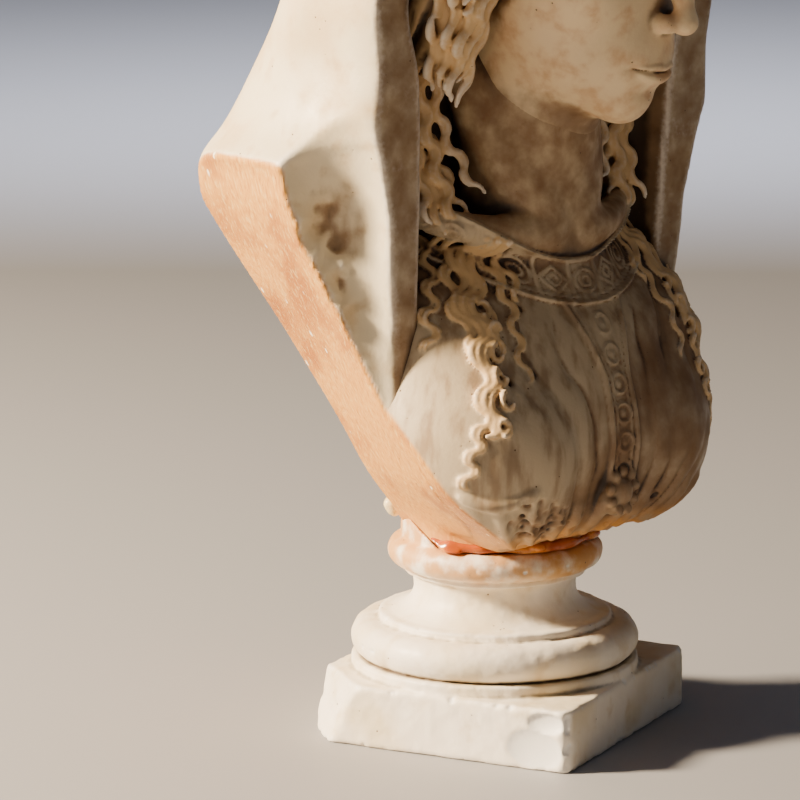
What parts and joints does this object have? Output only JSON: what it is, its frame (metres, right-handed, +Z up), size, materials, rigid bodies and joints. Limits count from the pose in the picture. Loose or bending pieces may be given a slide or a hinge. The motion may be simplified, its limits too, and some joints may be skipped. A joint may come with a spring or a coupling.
{
  "type": "veiled portrait bust",
  "caption": "Head and shoulders of a veiled woman with waved tresses and a banded dress, cut away at the sides, on a waisted round socle with a square plinth.",
  "frame": {"origin": "middle of the plinth's underside, which rests on the table, on the socle's upright axis", "axes": "+Z up the socle's axis, -Y out of the plinth's front face, +X to the figure's left"},
  "size_m": [0.1564, 0.1328, 0.2889],
  "materials": {
    "figure_stone": "satin, toned and worn",
    "socle_stone": "satin, toned and worn",
    "glue": "glossy, aged",
    "iron": "rusted",
    "bed_plaster": "chalky"
  },
  "bodies": {
    "root": {"figure": "figure_stone", "socle": "socle_stone", "glue_seam": "glue", "glue_drip": "glue", "dowel": "iron", "lower_bed": "bed_plaster", "upper_bed": "bed_plaster"}
  },
  "joints": []
}
